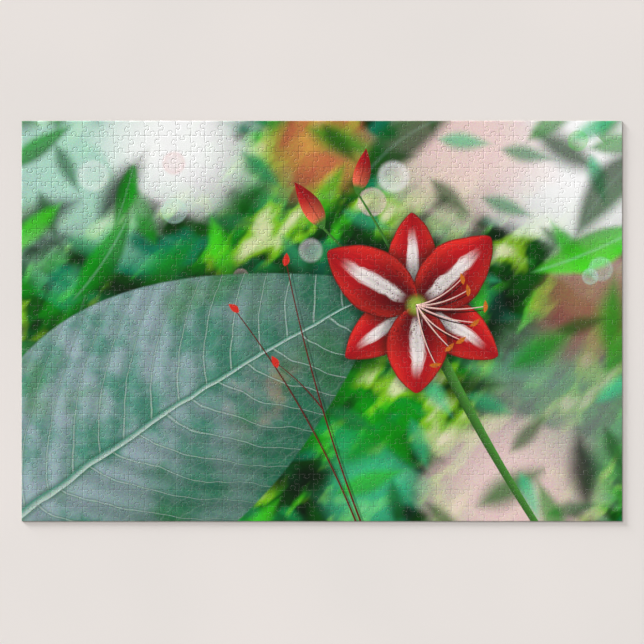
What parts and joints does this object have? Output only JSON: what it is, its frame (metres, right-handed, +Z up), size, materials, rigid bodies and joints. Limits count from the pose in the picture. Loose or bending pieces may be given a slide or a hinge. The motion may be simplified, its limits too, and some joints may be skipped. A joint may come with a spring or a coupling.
{
  "type": "jigsaw puzzle",
  "caption": "Put-together cardboard jigsaw puzzle lying face up, with interlocking knobbed pieces and a printed picture of a leaf and a blossom in soft foliage.",
  "frame": {"origin": "middle of the underside, on the table", "axes": "+X along the long side to the picture's right, +Y along the short side to the picture's top, +Z up out of the printed face"},
  "size_m": [0.762, 0.508, 0.002],
  "materials": {
    "printed_board": "semi-gloss printed paper laminated on two-millimetre grey board, die cut, the mean colour of a green leafy print with crimson and white"
  },
  "bodies": {
    "root": {"block_r1_c1": "printed_board", "block_r1_c2": "printed_board", "block_r1_c3": "printed_board", "block_r1_c4": "printed_board", "block_r1_c5": "printed_board", "block_r1_c6": "printed_board", "block_r2_c1": "printed_board", "block_r2_c2": "printed_board", "block_r2_c3": "printed_board", "block_r2_c4": "printed_board", "block_r2_c5": "printed_board", "block_r2_c6": "printed_board", "block_r3_c1": "printed_board", "block_r3_c2": "printed_board", "block_r3_c3": "printed_board", "block_r3_c4": "printed_board", "block_r3_c5": "printed_board", "block_r3_c6": "printed_board", "block_r4_c1": "printed_board", "block_r4_c2": "printed_board", "block_r4_c3": "printed_board", "block_r4_c4": "printed_board", "block_r4_c5": "printed_board", "block_r4_c6": "printed_board"}
  },
  "joints": []
}
